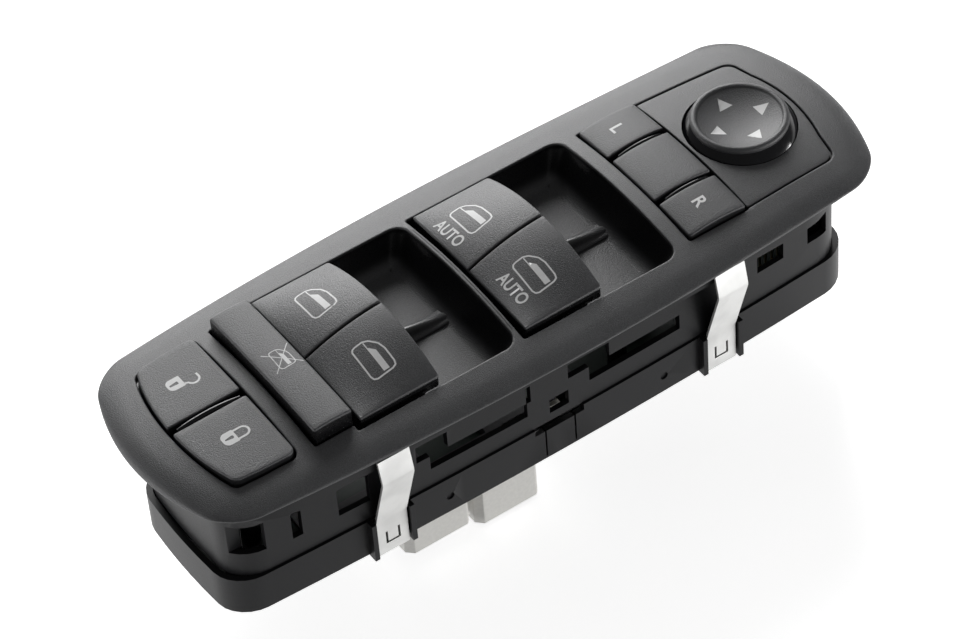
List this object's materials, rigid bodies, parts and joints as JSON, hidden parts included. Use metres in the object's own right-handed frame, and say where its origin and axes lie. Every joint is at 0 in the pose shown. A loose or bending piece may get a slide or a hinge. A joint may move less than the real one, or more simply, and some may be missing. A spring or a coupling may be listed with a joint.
{
  "type": "power window switch",
  "caption": "Driver's door switch panel: rocking window paddles in scooped wells, lock keys, window lockout bar, mirror select strip and tilting mirror knob.",
  "frame": {"origin": "on the plane of the bezel's lip, where it seats on the trim, at the middle of the bezel's length and width", "axes": "+X from the lock keys to the mirror knob, +Z out of the panel towards the user, +Y to the side away from the plugs"},
  "size_m": [0.2196, 0.076, 0.0726],
  "materials": {
    "bezel": "fine grained matte",
    "case": "moulded, slightly shiny",
    "keys": "soft-touch matte",
    "gloss_trim": "polished black",
    "clip_steel": "light zinc plate",
    "board": "lacquered",
    "silicone": "soft matte",
    "dark_moulding": "moulded",
    "plug_plastic": "natural white",
    "contact_metal": "plated",
    "chip": "matte epoxy",
    "led_body": "milky",
    "spring_steel": "bright drawn wire",
    "natural_nylon": "natural nylon",
    "knob": "satin to gloss black"
  },
  "bodies": {
    "case": {"bezel": "bezel", "mirror_panel": "bezel", "housing": "case", "base_cover": "case", "centre_cap": "keys", "select_dividers": "gloss_trim", "lock_divider": "gloss_trim", "clip_near_left": "clip_steel", "clip_near_right": "clip_steel", "clip_far_left": "clip_steel", "clip_far_right": "clip_steel", "circuit_board": "board", "dome_mat": "silicone", "contact_frame": "dark_moulding", "main_connector": "plug_plastic", "mirror_connector": "plug_plastic", "main_terminals": "contact_metal", "mirror_terminals": "contact_metal", "microcontroller": "chip", "indicator_leds": "led_body", "board_screws": "spring_steel", "mirror_switch_board": "board", "mirror_dome_pad": "silicone", "mirror_link_pins": "contact_metal", "knob_socket": "dark_moulding", "lockout_spring": "spring_steel"},
    "rear_far_paddle_body": {"rear_far_paddle": "keys", "rear_far_detent_pin": "natural_nylon", "rear_far_detent_spring": "spring_steel"},
    "rear_far_contact_body": {"rear_far_slider": "natural_nylon", "rear_far_wiper": "contact_metal"},
    "rear_near_paddle_body": {"rear_near_paddle": "keys", "rear_near_detent_pin": "natural_nylon", "rear_near_detent_spring": "spring_steel"},
    "rear_near_contact_body": {"rear_near_slider": "natural_nylon", "rear_near_wiper": "contact_metal"},
    "front_far_paddle_body": {"front_far_paddle": "keys", "front_far_detent_pin": "natural_nylon", "front_far_detent_spring": "spring_steel"},
    "front_far_contact_body": {"front_far_slider": "natural_nylon", "front_far_wiper": "contact_metal"},
    "front_near_paddle_body": {"front_near_paddle": "keys", "front_near_detent_pin": "natural_nylon", "front_near_detent_spring": "spring_steel"},
    "front_near_contact_body": {"front_near_slider": "natural_nylon", "front_near_wiper": "contact_metal"},
    "unlock_body": {"unlock_key": "keys"},
    "lock_body": {"lock_key": "keys"},
    "left_select_body": {"left_select_key": "keys"},
    "right_select_body": {"right_select_key": "keys"},
    "lockout_body": {"lockout_bar": "keys"},
    "gimbal_body": {"gimbal_ring": "natural_nylon"},
    "knob_body": {"mirror_knob": "knob"}
  },
  "joints": [
    {"name": "rear_far_tilt", "type": "hinge", "parent": "case", "child": "rear_far_paddle_body", "pos_m": [-0.0499, 0, -0.001], "axis": [0, 1, 0], "range_deg": [-8, 8], "stiffness_Nm_per_rad": 0.05},
    {"name": "rear_far_slide", "type": "slide", "parent": "case", "child": "rear_far_contact_body", "axis": [1, 0, 0], "range_m": [-0.0048, 0.0048]},
    {"name": "rear_near_tilt", "type": "hinge", "parent": "case", "child": "rear_near_paddle_body", "pos_m": [-0.0499, 0, -0.001], "axis": [0, 1, 0], "range_deg": [-8, 8], "stiffness_Nm_per_rad": 0.05},
    {"name": "rear_near_slide", "type": "slide", "parent": "case", "child": "rear_near_contact_body", "axis": [1, 0, 0], "range_m": [-0.0048, 0.0048]},
    {"name": "front_far_tilt", "type": "hinge", "parent": "case", "child": "front_far_paddle_body", "pos_m": [0.0006, 0, -0.001], "axis": [0, 1, 0], "range_deg": [-8, 8], "stiffness_Nm_per_rad": 0.05},
    {"name": "front_far_slide", "type": "slide", "parent": "case", "child": "front_far_contact_body", "axis": [1, 0, 0], "range_m": [-0.0048, 0.0048]},
    {"name": "front_near_tilt", "type": "hinge", "parent": "case", "child": "front_near_paddle_body", "pos_m": [0.0006, 0, -0.001], "axis": [0, 1, 0], "range_deg": [-8, 8], "stiffness_Nm_per_rad": 0.05},
    {"name": "front_near_slide", "type": "slide", "parent": "case", "child": "front_near_contact_body", "axis": [1, 0, 0], "range_m": [-0.0048, 0.0048]},
    {"name": "unlock_push", "type": "slide", "parent": "case", "child": "unlock_body", "axis": [0, 0, 1], "range_m": [-0.0014, 0], "stiffness_N_per_m": 600},
    {"name": "lock_push", "type": "slide", "parent": "case", "child": "lock_body", "axis": [0, 0, 1], "range_m": [-0.0014, 0], "stiffness_N_per_m": 600},
    {"name": "left_select_push", "type": "slide", "parent": "case", "child": "left_select_body", "axis": [0, 0, 1], "range_m": [-0.0014, 0], "stiffness_N_per_m": 600},
    {"name": "right_select_push", "type": "slide", "parent": "case", "child": "right_select_body", "axis": [0, 0, 1], "range_m": [-0.0014, 0], "stiffness_N_per_m": 600},
    {"name": "lockout_push", "type": "slide", "parent": "case", "child": "lockout_body", "axis": [0, 0, 1], "range_m": [-0.0022, 0], "stiffness_N_per_m": 500, "deforming": ["lockout_spring"]},
    {"name": "mirror_tilt_up_down", "type": "hinge", "parent": "case", "child": "gimbal_body", "pos_m": [0.0805, 0, -0.0044], "axis": [1, 0, 0], "range_deg": [-6, 6], "stiffness_Nm_per_rad": 0.3},
    {"name": "mirror_tilt_left_right", "type": "hinge", "parent": "gimbal_body", "child": "knob_body", "pos_m": [0.0805, 0, -0.0044], "axis": [0, 1, 0], "range_deg": [-6, 6], "stiffness_Nm_per_rad": 0.3}
  ],
  "couplings": [
    {"joint": "rear_far_slide", "follows": "rear_far_tilt", "m_per_rad": -0.0343},
    {"joint": "rear_near_slide", "follows": "rear_near_tilt", "m_per_rad": -0.0343},
    {"joint": "front_far_slide", "follows": "front_far_tilt", "m_per_rad": -0.0343},
    {"joint": "front_near_slide", "follows": "front_near_tilt", "m_per_rad": -0.0343}
  ]
}
